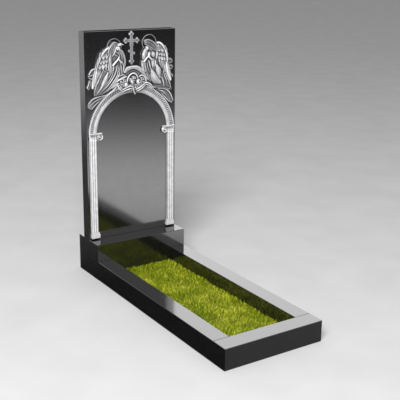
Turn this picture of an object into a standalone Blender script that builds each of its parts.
"""A grave monument in polished black granite: a carved stele, its plinth, and a kerbed bed of turf.

+X is to the right of someone who faces the stele, +Y is towards its back, +Z is up. The origin is on the
ground, in the middle of the whole.
"""

import bmesh
import bpy
import numpy as np
from mathutils import Matrix

# The stones, in metres.
MONUMENT_WIDTH = 0.600
STELE_THICKNESS = 0.070
STELE_RISE = 1.230
PLINTH_DEPTH = 0.250
PLINTH_HEIGHT = 0.220
STELE_SETBACK = 0.115
GROOVE_DEPTH = 0.058
GROOVE_PLAY = 0.001
SURROUND_LENGTH = 1.310
KERB_HEIGHT = 0.116
SIDE_KERB_WIDTH = 0.095
FRONT_KERB_DEPTH = 0.100
ARRIS = 0.002
JOINT_GAP = 0.0003

# The bed between the kerbs.
TURF_HEIGHT = 0.034
TURF_SWELL = 0.005
TURF_CELL = 0.068

# The carving on the stele's face. What is carved goes this far into the slab, so that it is one with it.
CARVING_ROOT = 0.004
ARCH_MARGIN = 0.014
ARCH_BAND = 0.0475
ARCH_RELIEF = 0.0125
ARCH_SEGMENTS = 40
BASE_FOOT = 0.008
BASE_HEIGHT = 0.034
BASE_OVERHANG = 0.006
BASE_RELIEF = 0.018
COLUMN_RELIEF = 0.013
COLUMN_RIBS = 5
CAPITAL_HEIGHT = 0.047
CAPITAL_RELIEF = 0.017
ABACUS_HEIGHT = 0.010
SCROLL_RADIUS = 0.022
CAPITAL_DROP = 0.017
CAPITAL_OVERHANG = 0.0395
CROSS_TOP_MARGIN = 0.005
CROSS_HEIGHT = 0.196
CROSS_SPAN = 0.098
CROSS_BAR_DROP = 0.055
CROSS_BAR = 0.018
FOOTREST_DROP = 0.120
FOOTREST_HALF_SPAN = 0.018
FOOTREST_FALL = 0.016
CROSS_RELIEF = 0.008
HALO_WIDTH = 0.0045
HALO_RELIEF = 0.0045
HALO_SIDES = 28

# The figures are drawn in millimetres beside an arch of this outer radius, and scaled to the real one.
DRAWN_ARCH_RADIUS = 286.0
DRAWN_TOP = 610.0
DRAWN_HALOS = ((-121, 523, 46), (112, 534, 48))
DRAWN_LOWEST = 150
DRAWN_HALF_WIDTH = 298
BOARD_STEP = 2.5
BOARD_FLOOR = -4.0
FIGURE_TRIANGLES = 6200

# Places that follow from those sizes.
HALF_WIDTH = MONUMENT_WIDTH / 2
LENGTH = SURROUND_LENGTH + PLINTH_DEPTH
SURROUND_FRONT = -LENGTH / 2
PLINTH_FRONT = SURROUND_FRONT + SURROUND_LENGTH
PLINTH_BACK = PLINTH_FRONT + PLINTH_DEPTH
STELE_FRONT = PLINTH_FRONT + STELE_SETBACK
STELE_BACK = STELE_FRONT + STELE_THICKNESS
STELE_BOTTOM = PLINTH_HEIGHT - GROOVE_DEPTH + JOINT_GAP
STELE_TOP = PLINTH_HEIGHT + STELE_RISE
ARCH_OUTER = HALF_WIDTH - ARCH_MARGIN
ARCH_INNER = ARCH_OUTER - ARCH_BAND
DRAWN_MILLIMETRE = ARCH_OUTER / DRAWN_ARCH_RADIUS
ARCH_CENTRE = STELE_TOP - DRAWN_TOP * DRAWN_MILLIMETRE


def clear_scene():
    for obj in list(bpy.data.objects):
        bpy.data.objects.remove(obj, do_unlink=True)


def make_material(name, colour, roughness, metallic=0.0):
    material = bpy.data.materials.new(name)
    material.use_nodes = True
    shader = material.node_tree.nodes["Principled BSDF"]
    shader.inputs["Base Color"].default_value = (*colour, 1.0)
    shader.inputs["Roughness"].default_value = roughness
    shader.inputs["Metallic"].default_value = metallic
    return material


def add_object(name, bm, material=None, helper=False):
    bmesh.ops.recalc_face_normals(bm, faces=bm.faces)
    mesh = bpy.data.meshes.new(name)
    bm.to_mesh(mesh)
    bm.free()
    obj = bpy.data.objects.new(name, mesh)
    bpy.context.scene.collection.objects.link(obj)
    if material:
        mesh.materials.append(material)
    if helper:
        obj.hide_render = True
        obj.display_type = "WIRE"
    return obj


def block(low, high, arris=0.0):
    """A cuboid between two corners, with its edges taken off by the arris."""
    bm = bmesh.new()
    bmesh.ops.create_cube(bm, size=1.0)
    middle = [(a + b) / 2 for a, b in zip(low, high)]
    bmesh.ops.scale(bm, verts=bm.verts, vec=[b - a for a, b in zip(low, high)])
    bmesh.ops.translate(bm, verts=bm.verts, vec=middle)
    if arris:
        bmesh.ops.bevel(
            bm, geom=bm.edges[:], offset=arris, segments=1, profile=0.5, affect="EDGES", material=-1
        )
    return bm


def prism(outline, start, along):
    """An outline of points extruded by a vector; start places a point of the outline in space."""
    bm = bmesh.new()
    face = bm.faces.new([bm.verts.new(start(*point)) for point in outline])
    moved = bmesh.ops.extrude_face_region(bm, geom=[face])
    fresh = [v for v in moved["geom"] if isinstance(v, bmesh.types.BMVert)]
    bmesh.ops.translate(bm, verts=fresh, vec=along)
    return bm


def on_face(x, z, relief=0.0):
    """A point of the carving: across from the axis, up from the ground, out from the stele's face."""
    return (x, STELE_FRONT - relief, z)


def make_plinth(material):
    """The plinth is one block, with a groove along its whole length that the stele's foot stands in."""
    front = STELE_FRONT - GROOVE_PLAY
    back = STELE_BACK + GROOVE_PLAY
    floor = PLINTH_HEIGHT - GROOVE_DEPTH
    section = [
        (PLINTH_FRONT, 0.0),
        (PLINTH_FRONT, PLINTH_HEIGHT),
        (front, PLINTH_HEIGHT),
        (front, floor),
        (back, floor),
        (back, PLINTH_HEIGHT),
        (PLINTH_BACK, PLINTH_HEIGHT),
        (PLINTH_BACK, 0.0),
    ]
    bm = prism(section, lambda y, z: (-HALF_WIDTH, y, z), (MONUMENT_WIDTH, 0.0, 0.0))
    outer = []
    for edge in bm.edges:
        heights = [v.co.z for v in edge.verts]
        depths = [v.co.y for v in edge.verts]
        if min(heights) > floor + ARRIS or set(depths) in ({PLINTH_FRONT}, {PLINTH_BACK}):
            outer.append(edge)
    bmesh.ops.bevel(
        bm, geom=outer, offset=ARRIS, segments=1, profile=0.5, affect="EDGES", material=-1
    )
    add_object("plinth", bm, material)


def make_kerbs(material):
    """The front kerb runs the whole width, and the side kerbs stand between it and the plinth."""
    front_back = SURROUND_FRONT + FRONT_KERB_DEPTH
    add_object(
        "kerb_front",
        block((-HALF_WIDTH, SURROUND_FRONT, 0.0), (HALF_WIDTH, front_back, KERB_HEIGHT), ARRIS),
        material,
    )
    for name, inner, outer in (
        ("kerb_left", -HALF_WIDTH, -HALF_WIDTH + SIDE_KERB_WIDTH),
        ("kerb_right", HALF_WIDTH - SIDE_KERB_WIDTH, HALF_WIDTH),
    ):
        low = (inner, front_back + JOINT_GAP, 0.0)
        high = (outer, PLINTH_FRONT - JOINT_GAP, KERB_HEIGHT)
        add_object(name, block(low, high, ARRIS), material)


def make_turf(material):
    """The bed of soil and turf fills the kerbs; its top swells and dips a little, and sinks at its rim."""
    half = HALF_WIDTH - SIDE_KERB_WIDTH - JOINT_GAP
    near = SURROUND_FRONT + FRONT_KERB_DEPTH + JOINT_GAP
    far = PLINTH_FRONT - JOINT_GAP
    across = max(4, round(2 * half / TURF_CELL))
    along = max(4, round((far - near) / TURF_CELL))
    bm = bmesh.new()
    bmesh.ops.create_grid(bm, x_segments=across, y_segments=along, size=0.5)
    bmesh.ops.scale(bm, verts=bm.verts, vec=(2 * half, far - near, 1.0))
    bmesh.ops.translate(bm, verts=bm.verts, vec=(0.0, (near + far) / 2, 0.0))
    lifted = bmesh.ops.extrude_face_region(bm, geom=bm.faces[:])
    top = [v for v in lifted["geom"] if isinstance(v, bmesh.types.BMVert)]
    for v in top:
        x, y = v.co.x / TURF_CELL, v.co.y / TURF_CELL
        swell = np.sin(1.9 * x + 0.4) * np.cos(1.3 * y) + 0.5 * np.sin(2.7 * y + 1.1 * x)
        rim = min(half - abs(v.co.x), v.co.y - near, far - v.co.y) < 0.5 * TURF_CELL
        v.co.z = TURF_HEIGHT + (-TURF_SWELL if rim else 0.6 * TURF_SWELL * swell)
    add_object("turf_bed", bm, material)


def arch_band():
    """A moulded half ring: a sloping inner fillet, a roll, and a raised outer band."""
    top = ARCH_RELIEF
    section = [
        (ARCH_INNER, -CARVING_ROOT),
        (ARCH_INNER, 0.45 * top),
        (ARCH_INNER + 0.10 * ARCH_BAND, 0.80 * top),
        (ARCH_INNER + 0.42 * ARCH_BAND, top),
        (ARCH_INNER + 0.50 * ARCH_BAND, 0.72 * top),
        (ARCH_INNER + 0.58 * ARCH_BAND, top),
        (ARCH_INNER + 0.88 * ARCH_BAND, top),
        (ARCH_OUTER, 0.60 * top),
        (ARCH_OUTER, -CARVING_ROOT),
    ]
    bm = bmesh.new()
    face = bm.faces.new([bm.verts.new(on_face(r, ARCH_CENTRE, out)) for r, out in section])
    bmesh.ops.spin(
        bm,
        geom=[face, *face.edges, *face.verts],
        cent=on_face(0.0, ARCH_CENTRE),
        axis=(0.0, -1.0, 0.0),
        angle=np.pi,
        steps=ARCH_SEGMENTS,
        use_duplicate=False,
    )
    bmesh.ops.recalc_face_normals(bm, faces=bm.faces)
    return bm


def column(side):
    """A fluted half column: round ribs side by side, from its base up to the capital."""
    rib = ARCH_BAND / COLUMN_RIBS
    steps = 4
    section = [(-ARCH_BAND / 2, -CARVING_ROOT)]
    for i in range(COLUMN_RIBS):
        for k in range(steps + (i == COLUMN_RIBS - 1)):
            turn = np.pi * k / steps
            x = -ARCH_BAND / 2 + (i + 0.5 - 0.5 * np.cos(turn)) * rib
            section.append((x, COLUMN_RELIEF - 0.5 * rib * (1 - np.sin(turn))))
    section.append((ARCH_BAND / 2, -CARVING_ROOT))
    middle = side * (ARCH_OUTER - ARCH_BAND / 2)
    low = PLINTH_HEIGHT + BASE_FOOT + 0.5 * BASE_HEIGHT
    high = ARCH_CENTRE - CAPITAL_DROP + 0.5 * CAPITAL_HEIGHT
    return prism(section, lambda x, out: on_face(middle + x, low, out), (0.0, 0.0, high - low))


def carved_block(x_low, x_high, z_low, z_high, relief, arris):
    """A block cut proud of the face, with its free edges softened."""
    return block(
        (x_low, STELE_FRONT - relief, z_low), (x_high, STELE_FRONT + CARVING_ROOT, z_high), arris
    )


def disc(x, z, radius, low, high, sides, taper=1.0):
    """A round boss that stands on the face."""
    bm = bmesh.new()
    bmesh.ops.create_cone(
        bm, cap_ends=True, segments=sides, radius1=radius, radius2=radius * taper, depth=high - low
    )
    bmesh.ops.rotate(bm, verts=bm.verts, matrix=Matrix.Rotation(np.pi / 2, 3, "X"))
    bmesh.ops.translate(bm, verts=bm.verts, vec=on_face(x, z, (low + high) / 2))
    return bm


def capital(side):
    """A capital with an abacus bar across its top and a scroll that curls out into the arch."""
    bottom = ARCH_CENTRE - CAPITAL_DROP
    top = bottom + CAPITAL_HEIGHT
    tip = ARCH_INNER - CAPITAL_OVERHANG
    scroll_x = side * (tip + SCROLL_RADIUS)
    scroll_z = bottom + SCROLL_RADIUS
    neck = sorted((side * ARCH_OUTER, scroll_x))
    bar = sorted((side * (ARCH_OUTER + 0.002), side * (tip + 0.3 * SCROLL_RADIUS)))
    return [
        carved_block(*neck, bottom, top - 0.5 * ABACUS_HEIGHT, 0.84 * CAPITAL_RELIEF, 0.002),
        carved_block(*bar, top - ABACUS_HEIGHT, top, CAPITAL_RELIEF, 0.002),
        disc(scroll_x, scroll_z, SCROLL_RADIUS, -CARVING_ROOT, 0.94 * CAPITAL_RELIEF, 20, 0.9),
        disc(scroll_x, scroll_z, 0.32 * SCROLL_RADIUS, 0.0, 1.2 * CAPITAL_RELIEF, 10, 0.7),
    ]


def base(side):
    """A square base under the column, with a smaller block on it."""
    edges = sorted((side * ARCH_OUTER, side * (ARCH_INNER - BASE_OVERHANG)))
    low = PLINTH_HEIGHT + BASE_FOOT
    step = 0.66 * BASE_HEIGHT
    return [
        carved_block(*edges, low, low + step, BASE_RELIEF, 0.0015),
        carved_block(
            edges[0] + 0.002, edges[1] - 0.002, low + 0.5 * step, low + BASE_HEIGHT,
            0.85 * BASE_RELIEF, 0.003,
        ),
    ]


def cross():
    """An upright cross whose four ends open into three buds each, with a slanting bar below."""
    top = STELE_TOP - CROSS_TOP_MARGIN
    foot = top - CROSS_HEIGHT
    bar = top - CROSS_BAR_DROP
    rest = top - FOOTREST_DROP
    half = CROSS_BAR / 2
    bud = 0.5 * CROSS_BAR
    bud_reach = 2 * bud
    arm = CROSS_SPAN / 2 - bud_reach

    def bar_between(x0, z0, x1, z1):
        run = np.array([x1 - x0, z1 - z0])
        side = np.array([-run[1], run[0]]) / np.hypot(*run) * half
        corners = [
            (x0 + side[0], z0 + side[1]),
            (x0 - side[0], z0 - side[1]),
            (x1 - side[0], z1 - side[1]),
            (x1 + side[0], z1 + side[1]),
        ]
        return prism(
            corners,
            lambda x, z: on_face(x, z, -CARVING_ROOT),
            (0.0, -CARVING_ROOT - 0.94 * CROSS_RELIEF, 0.0),
        )

    pieces = [
        bar_between(0.0, foot + bud_reach, 0.0, top - bud_reach),
        bar_between(-arm, bar, arm, bar),
        bar_between(
            -FOOTREST_HALF_SPAN, rest + FOOTREST_FALL / 2, FOOTREST_HALF_SPAN, rest - FOOTREST_FALL / 2
        ),
    ]
    ends = (
        (0.0, top - bud_reach, 0, 1),
        (0.0, foot + bud_reach, 0, -1),
        (-arm, bar, -1, 0),
        (arm, bar, 1, 0),
    )
    for x, z, dx, dz in ends:
        for ahead, aside in ((1, 0), (0, 1), (0, -1)):
            lobe_x = x + bud * (ahead * dx - aside * dz)
            lobe_z = z + bud * (ahead * dz + aside * dx)
            pieces.append(disc(lobe_x, lobe_z, bud, -CARVING_ROOT, CROSS_RELIEF, 10, 0.75))
    return pieces


def halo(x, z, radius):
    """A thin ring behind an angel's head."""
    inner = radius - HALO_WIDTH / 2
    outer = radius + HALO_WIDTH / 2
    section = [
        (inner, -CARVING_ROOT),
        (inner + 0.2 * HALO_WIDTH, HALO_RELIEF),
        (outer - 0.2 * HALO_WIDTH, HALO_RELIEF),
        (outer, -CARVING_ROOT),
    ]
    bm = bmesh.new()
    ring = [bm.verts.new(on_face(x + r, z, out)) for r, out in section]
    edges = [bm.edges.new((a, b)) for a, b in zip(ring, ring[1:] + ring[:1])]
    bmesh.ops.spin(
        bm, geom=ring + edges, cent=on_face(x, z), axis=(0.0, -1.0, 0.0), angle=2 * np.pi,
        steps=HALO_SIDES, use_merge=True, use_duplicate=False,
    )
    return bm


class Board:
    """The drawing board of the figures: how far each place stands out from the face, in millimetres."""

    def __init__(self, half_width, low, high):
        self.x = np.arange(-half_width, half_width + 0.1, BOARD_STEP)
        self.z = np.arange(low, high + 0.1, BOARD_STEP)
        self.out = np.full((len(self.z), len(self.x)), BOARD_FLOOR)
        self.grid_x, self.grid_z = np.meshgrid(self.x, self.z)

    def lay(self, rise, blend=1.5):
        """Adds a form over what is there, with a soft hollow where the two meet."""
        near = np.clip(blend - np.abs(self.out - rise), 0.0, None)
        self.out = np.maximum(self.out, rise) + near * near / (4 * blend)


def flowing(points, steps=5, closed=False):
    """A smooth line through a few chosen points."""
    p = np.array(points, float)
    if closed:
        p = np.vstack([p[-1], p, p[:2]])
    else:
        p = np.vstack([2 * p[0] - p[1], p, 2 * p[-1] - p[-2]])
    line = []
    for a, b, c, d in zip(p, p[1:], p[2:], p[3:]):
        for t in np.arange(steps) / steps:
            bend = (2 * a - 5 * b + 4 * c - d) * t**2 + (3 * b - a - 3 * c + d) * t**3
            line.append(b + 0.5 * ((c - a) * t + bend))
    line.append(p[-2])
    return np.array(line)


def nearest(board, line):
    """For each place on the board: how far the line is, and how far along it, from 0 to 1."""
    legs = np.hypot(*(line[1:] - line[:-1]).T)
    passed = np.concatenate([[0.0], np.cumsum(legs)])
    far = np.full(board.out.shape, 1e9)
    along = np.zeros(board.out.shape)
    for a, b, leg, start in zip(line, line[1:], legs, passed):
        if leg == 0.0:
            continue
        run = (b - a) / leg
        t = np.clip((board.grid_x - a[0]) * run[0] + (board.grid_z - a[1]) * run[1], 0, leg)
        gap = np.hypot(board.grid_x - a[0] - t * run[0], board.grid_z - a[1] - t * run[1])
        along = np.where(gap < far, (start + t) / passed[-1], along)
        far = np.minimum(gap, far)
    return far, along


def roll(board, points, widths, tops, root=BOARD_FLOOR):
    """A rounded fold, limb or lock along a line. Half widths and tops are given along it."""
    far, along = nearest(board, flowing(points))
    width = np.interp(along, np.linspace(0, 1, len(widths)), widths)
    top = np.interp(along, np.linspace(0, 1, len(tops)), tops)
    crown = np.sqrt(np.clip(1 - (far / width) ** 2, 0, None))
    board.lay(np.where(far < width, root + (top - root) * crown, BOARD_FLOOR))


def body(board, outline, top, rim, root=BOARD_FLOOR):
    """A mass with a smooth outline and a rounded rim."""
    line = flowing(outline, closed=True)
    far, _ = nearest(board, line)
    inside = np.zeros(board.out.shape, bool)
    for a, b in zip(line, line[1:]):
        if a[1] == b[1]:
            continue
        crosses = (a[1] > board.grid_z) != (b[1] > board.grid_z)
        slope = (b[0] - a[0]) / (b[1] - a[1])
        inside ^= crosses & (board.grid_x < a[0] + slope * (board.grid_z - a[1]))
    crown = np.sqrt(1 - (1 - np.clip(far / rim, 0, 1)) ** 2)
    board.lay(np.where(inside, root + (top - root) * crown, BOARD_FLOOR))


def boss(board, centre, radii, top, root=BOARD_FLOOR):
    """A round mass, such as a head or a shoulder."""
    across = (board.grid_x - centre[0]) / radii[0]
    up = (board.grid_z - centre[1]) / radii[1]
    crown = np.sqrt(np.clip(1 - across**2 - up**2, 0, None))
    board.lay(np.where(crown > 0, root + (top - root) * crown, BOARD_FLOOR))


def feather_rows(board, roots, tips, count, width, low, high):
    """A row of round-ended feathers that fan between two places, each rising to its tip."""
    for f in np.linspace(0, 1, count):
        swell = np.array([0.0, 4 * np.sin(np.pi * f)])
        root = np.array(roots[0]) * (1 - f) + np.array(roots[1]) * f + swell
        tip = np.array(tips[0]) * (1 - f) + np.array(tips[1]) * f - swell
        far, along = nearest(board, flowing([root, tip]))
        crown = 1.5 * np.sqrt(np.clip(1 - (far / width) ** 2, 0, None))
        board.lay(np.where(far < width, low + (high - low) * along + crown, BOARD_FLOOR), 0.8)


def strands(board, first, last, count, width, top):
    """Locks of hair side by side, between a first and a last line."""
    for f in np.linspace(0, 1, count):
        line = np.array(first) * (1 - f) + np.array(last) * f
        roll(board, line, [0.8 * width, width, width, 0.6 * width], [top - 2, top, top - 1, top - 6], 13)


def left_angel(board):
    """The angel on the left turns to the cross with hands joined, the wing folded behind."""
    body(board, [(-239, 405), (-270, 394), (-285, 360), (-277, 330), (-293, 297), (-284, 288),
                 (-262, 310), (-244, 360)], 8, 5)
    roll(board, [(-284, 362), (-262, 358), (-244, 362)], [4, 5, 4], [11, 12, 9])
    roll(board, [(-279, 333), (-281, 312), (-290, 297)], [4, 5, 4], [10, 12, 10])
    body(board, [(-146, 527), (-175, 519), (-200, 495), (-227, 440), (-242, 360), (-265, 288),
                 (-250, 297), (-222, 340), (-200, 392), (-160, 400), (-144, 450)], 11, 6)
    feather_rows(board, ((-200, 410), (-236, 410)), ((-212, 362), (-262, 292)), 4, 7, 12, 13)
    feather_rows(board, ((-160, 462), (-222, 436)), ((-160, 407), (-235, 399)), 6, 8, 12, 18)
    feather_rows(board, ((-158, 492), (-215, 460)), ((-157, 436), (-227, 420)), 5, 8, 14, 20)
    feather_rows(board, ((-156, 512), (-203, 484)), ((-154, 468), (-218, 447)), 4, 8, 16, 22)
    roll(board, [(-146, 525), (-177, 515), (-205, 485), (-225, 437), (-233, 405)],
         [6, 8, 8, 6], [21, 25, 24, 18])
    roll(board, [(-233, 408), (-240, 360), (-261, 292)], [5, 4, 3], [18, 17, 12])
    body(board, [(-136, 500), (-155, 470), (-166, 405), (-192, 385), (-234, 310), (-252, 250),
                 (-201, 243), (-136, 287), (-94, 345), (-60, 375), (-48, 430), (-60, 482),
                 (-100, 505)], 13, 8)
    roll(board, [(-162, 372), (-179, 342), (-204, 306), (-239, 262)], [9, 13, 12, 8], [20, 26, 25, 17], 6)
    roll(board, [(-190, 386), (-234, 302), (-247, 256)], [6, 7, 4], [17, 19, 13], 6)
    roll(board, [(-104, 425), (-114, 375), (-146, 325), (-236, 248)], [5, 7, 7, 5], [20, 25, 24, 15], 6)
    roll(board, [(-93, 415), (-102, 365), (-138, 313), (-218, 245)], [5, 6, 6, 4], [20, 22, 21, 14], 6)
    roll(board, [(-146, 366), (-168, 322), (-211, 272)], [5, 6, 5], [20, 25, 19], 6)
    roll(board, [(-84, 400), (-90, 365), (-131, 305)], [5, 5, 4], [21, 19, 14], 6)
    body(board, [(-246, 243), (-289, 207), (-292, 178), (-268, 163), (-238, 190), (-176, 236),
                 (-114, 280), (-160, 264)], 9, 6)
    roll(board, [(-116, 281), (-168, 251), (-221, 240), (-264, 224), (-286, 196)],
         [4, 5, 6, 4], [13, 15, 15, 11])
    roll(board, [(-186, 236), (-231, 218), (-264, 197), (-277, 172)], [4, 6, 6, 4], [12, 14, 14, 10])
    roll(board, [(-100, 498), (-70, 487), (-53, 450), (-52, 405)], [8, 10, 8, 5], [18, 21, 18, 13], 2)
    body(board, [(-94, 448), (-60, 428), (-53, 396), (-72, 358), (-86, 405)], 16, 5)
    roll(board, [(-72, 430), (-64, 400), (-70, 370)], [5, 6, 4], [20, 21, 16], 8)
    roll(board, [(-142, 486), (-149, 455), (-144, 422)], [12, 13, 10], [23, 26, 24], 4)
    body(board, [(-156, 442), (-159, 405), (-139, 350), (-118, 405), (-106, 432), (-124, 447)], 20, 6)
    roll(board, [(-150, 432), (-152, 398), (-142, 362)], [4, 5, 3], [24, 26, 20], 10)
    roll(board, [(-136, 430), (-138, 398), (-136, 368)], [4, 5, 3], [23, 25, 20], 10)
    roll(board, [(-134, 414), (-114, 437), (-99, 452)], [7, 6, 5], [29, 31, 29], 12)
    roll(board, [(-80, 428), (-96, 454)], [5, 4], [25, 28], 12)
    roll(board, [(-99, 450), (-92, 464), (-87, 476)], [6, 6, 3], [30, 31, 28], 12)
    roll(board, [(-112, 508), (-120, 488)], [10, 11], [21, 20], 2)
    body(board, [(-91, 538), (-118, 553), (-146, 526), (-155, 482), (-137, 478), (-129, 498),
                 (-104, 524)], 25, 10)
    body(board, [(-104, 534), (-91, 524), (-87, 512), (-94, 498), (-110, 500), (-115, 524)], 26, 8)
    strands(board, [(-93, 540), (-118, 551), (-143, 524), (-152, 478)],
            [(-96, 532), (-112, 532), (-130, 508), (-140, 476)], 4, 4.5, 29)
    roll(board, [(-97, 536), (-87, 539), (-72, 535)], [4, 5, 3], [24, 25, 19])


def right_angel(board):
    """The angel on the right bows its head over joined hands, with long hair and the wing behind."""
    roll(board, [(248, 426), (268, 430), (282, 416)], [5, 7, 5], [9, 11, 8])
    roll(board, [(252, 402), (272, 401), (285, 391)], [5, 7, 4], [9, 11, 8])
    roll(board, [(256, 383), (268, 376), (279, 362)], [5, 7, 4], [9, 11, 8])
    body(board, [(176, 537), (212, 522), (237, 495), (250, 430), (257, 360), (272, 300), (256, 300),
                 (228, 342), (196, 400), (172, 420), (172, 500)], 11, 6)
    feather_rows(board, ((206, 422), (246, 422)), ((218, 374), (268, 302)), 4, 7, 12, 13)
    feather_rows(board, ((184, 468), (238, 450)), ((181, 425), (248, 414)), 6, 8, 12, 18)
    feather_rows(board, ((182, 498), (230, 474)), ((178, 454), (242, 436)), 5, 8, 14, 20)
    feather_rows(board, ((180, 520), (216, 502)), ((178, 484), (232, 460)), 4, 8, 16, 22)
    roll(board, [(174, 535), (205, 524), (232, 494), (246, 440), (249, 410)],
         [5, 8, 7, 5], [19, 25, 23, 18])
    roll(board, [(249, 412), (255, 362), (269, 303)], [5, 4, 3], [18, 17, 12])
    body(board, [(102, 497), (75, 490), (65, 455), (63, 392), (92, 358), (126, 330), (140, 280), (158, 258),
                 (240, 256), (266, 243), (249, 300), (211, 365), (180, 425), (164, 490), (130, 502)], 12, 8)
    roll(board, [(160, 392), (176, 366), (184, 335), (190, 305)], [12, 17, 15, 10], [22, 29, 26, 19], 5)
    roll(board, [(132, 362), (144, 318), (162, 276)], [13, 17, 15], [20, 26, 20], 5)
    roll(board, [(102, 425), (108, 388), (134, 332)], [5, 6, 4], [21, 23, 17], 6)
    roll(board, [(112, 422), (121, 388), (146, 322)], [5, 6, 4], [22, 24, 20], 6)
    roll(board, [(198, 322), (208, 292), (216, 262)], [6, 7, 6], [20, 21, 16], 6)
    roll(board, [(208, 335), (226, 300), (242, 264)], [5, 6, 5], [18, 19, 15], 6)
    roll(board, [(217, 345), (240, 305), (257, 262)], [4, 5, 5], [15, 17, 13], 6)
    body(board, [(159, 256), (230, 256), (261, 233), (283, 178), (272, 158), (236, 184), (188, 230)], 9, 6)
    roll(board, [(164, 256), (229, 250), (266, 218), (278, 170)], [4, 6, 6, 4], [12, 15, 14, 10])
    roll(board, [(176, 250), (220, 232), (252, 200), (270, 166)], [4, 6, 6, 4], [12, 14, 13, 10])
    body(board, [(84, 497), (68, 475), (70, 437), (100, 436), (108, 470)], 20, 9)
    boss(board, (143, 460), (16, 21), 26)
    roll(board, [(162, 484), (167, 460), (158, 428)], [7, 9, 6], [20, 23, 21], 4)
    body(board, [(64, 427), (61, 400), (84, 360), (94, 385), (80, 430)], 17, 6)
    roll(board, [(73, 428), (70, 398), (84, 368)], [4, 5, 3], [20, 22, 17], 8)
    body(board, [(120, 434), (139, 444), (166, 412), (138, 368), (124, 405)], 20, 6)
    roll(board, [(132, 430), (132, 400), (137, 376)], [4, 5, 3], [23, 25, 20], 10)
    roll(board, [(149, 428), (150, 402), (142, 380)], [4, 5, 3], [23, 25, 20], 10)
    roll(board, [(76, 418), (91, 435), (103, 449)], [6, 6, 5], [25, 28, 28], 10)
    roll(board, [(136, 422), (120, 438), (108, 452)], [7, 6, 5], [28, 30, 29], 12)
    roll(board, [(105, 448), (109, 462), (112, 475)], [6, 6, 3], [29, 31, 28], 12)
    roll(board, [(116, 506), (124, 484)], [10, 12], [20, 19], 2)
    body(board, [(88, 524), (84, 505), (96, 487), (115, 495), (120, 512), (100, 527)], 24, 8)
    body(board, [(77, 553), (105, 561), (137, 543), (171, 500), (172, 480), (150, 490), (114, 514),
                 (78, 534)], 26, 10)
    strands(board, [(80, 552), (112, 557), (146, 530), (171, 486)],
            [(84, 532), (108, 524), (132, 504), (158, 484)], 4, 5, 30)


def cherubs(board):
    """Three cherubs' heads among small wings, under an arching cloud."""
    body(board, [(-92, 322), (-58, 362), (0, 394), (60, 366), (100, 318), (104, 285), (4, 246),
                 (-92, 290)], 6, 4)
    body(board, [(-58, 368), (-40, 389), (8, 404), (60, 386), (90, 345), (100, 320), (75, 338), (38, 371),
                 (0, 375), (-40, 359)], 13, 6)
    roll(board, [(-96, 318), (-76, 336), (-44, 341)], [7, 10, 8], [13, 18, 15])
    roll(board, [(-26, 300), (-24, 335), (6, 358), (34, 340), (40, 305)], [5, 7, 6, 4], [12, 16, 15, 12])
    roll(board, [(46, 332), (64, 340), (84, 326), (92, 300)], [5, 7, 6, 5], [14, 18, 16, 13])
    roll(board, [(-136, 289), (-110, 311), (-88, 318)], [5, 6, 6], [13, 17, 15])
    roll(board, [(-124, 280), (-104, 296), (-88, 300)], [4, 5, 5], [11, 14, 14])
    roll(board, [(-94, 305), (-80, 283), (-60, 258)], [8, 9, 6], [15, 17, 14])
    for k in range(3):
        lower = 10 * k
        roll(board, [(-58, 268 - lower), (-28, 282 - lower), (2, 282 - lower), (14, 240 - 0.5 * lower)],
             [5, 6, 6, 3], [16 - k, 20 - 2 * k, 19 - 2 * k, 12])
        roll(board, [(26, 252 - lower), (46, 268 - lower), (84, 286 - lower)],
             [5, 7, 5], [15, 18 - 2 * k, 14])
    roll(board, [(84, 296), (110, 291), (131, 270), (144, 245)], [6, 7, 5, 3], [14, 17, 15, 12])
    roll(board, [(84, 286), (108, 280), (124, 262)], [5, 6, 4], [13, 15, 12])
    for x, z, turned in ((-61, 310, 8), (58, 309, -11), (0, 318, -4)):
        boss(board, (x, z), (24, 25), 24)
        boss(board, (x + turned, z - 6), (15, 17), 27)


def smoothed(out):
    """Softens the steps between neighbouring places once."""
    padded = np.pad(out, 1, mode="edge")
    rows = 0.25 * padded[:-2] + 0.5 * padded[1:-1] + 0.25 * padded[2:]
    return 0.25 * rows[:, :-2] + 0.5 * rows[:, 1:-1] + 0.25 * rows[:, 2:]


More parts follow.
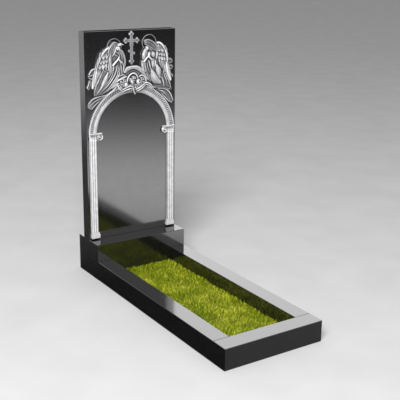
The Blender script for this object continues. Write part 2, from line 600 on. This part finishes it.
def figures():
    """The board of figures as one solid, rooted in the slab and thinned to few faces."""
    board = Board(DRAWN_HALF_WIDTH, DRAWN_LOWEST, DRAWN_TOP)
    left_angel(board)
    right_angel(board)
    cherubs(board)
    out = 0.6 * board.out + 0.4 * smoothed(board.out)
    columns = len(board.x)
    rows = len(board.z)
    bm = bmesh.new()
    bmesh.ops.create_grid(bm, x_segments=columns - 1, y_segments=rows - 1, size=0.5)
    places = {}
    for v in bm.verts:
        i = round((v.co.x + 0.5) * (columns - 1))
        k = round((v.co.y + 0.5) * (rows - 1))
        places[v] = out[k, i]
        x, z, relief = np.array([board.x[i], board.z[k], out[k, i]]) * DRAWN_MILLIMETRE
        v.co = on_face(x, ARCH_CENTRE + z, relief)
    hidden = [f for f in bm.faces if max(places[v] for v in f.verts) < BOARD_FLOOR + 1.0]
    bmesh.ops.delete(bm, geom=hidden, context="FACES")
    backed = bmesh.ops.extrude_face_region(bm, geom=bm.faces[:])
    back = STELE_FRONT + 2 * CARVING_ROOT
    for v in [g for g in backed["geom"] if isinstance(g, bmesh.types.BMVert)]:
        v.co.y = back
    return bm


def thin(obj, triangles):
    """Lets a dense solid keep about this many triangles, with the most where it bends most."""
    now = sum(len(polygon.vertices) - 2 for polygon in obj.data.polygons)
    modifier = obj.modifiers.new("fewer faces", "DECIMATE")
    modifier.ratio = min(1.0, triangles / now)
    modifier.use_collapse_triangulate = True


def make_stele(polished, carved):
    """The upright slab and all that is carved on its face are one stone."""
    stele = add_object(
        "stele",
        block((-HALF_WIDTH, STELE_FRONT, STELE_BOTTOM), (HALF_WIDTH, STELE_BACK, STELE_TOP), ARRIS),
        polished,
    )
    stele.data.materials.append(carved)
    forms = [arch_band()]
    for side in (-1, 1):
        forms += [column(side), *base(side), *capital(side)]
    forms += cross()
    for x, z, radius in DRAWN_HALOS:
        forms.append(
            halo(x * DRAWN_MILLIMETRE, ARCH_CENTRE + z * DRAWN_MILLIMETRE, radius * DRAWN_MILLIMETRE)
        )
    helpers = bpy.data.collections.new("carving")
    bpy.context.scene.collection.children.link(helpers)
    for i, bm in enumerate(forms):
        helpers.objects.link(add_object(f"carved_form_{i}", bm, carved, helper=True))
    group = add_object("carved_figures", figures(), carved, helper=True)
    thin(group, FIGURE_TRIANGLES)
    helpers.objects.link(group)
    union = stele.modifiers.new("carving", "BOOLEAN")
    union.operation = "UNION"
    union.solver = "EXACT"
    union.operand_type = "COLLECTION"
    union.collection = helpers
    union.use_self = True


clear_scene()
polished_granite = make_material("polished_black_granite", (0.012, 0.012, 0.013), 0.06)
carved_granite = make_material("carved_grey_granite", (0.52, 0.52, 0.53), 0.45)
turf_green = make_material("turf", (0.27, 0.36, 0.03), 0.9)
make_stele(polished_granite, carved_granite)
make_plinth(polished_granite)
make_kerbs(polished_granite)
make_turf(turf_green)
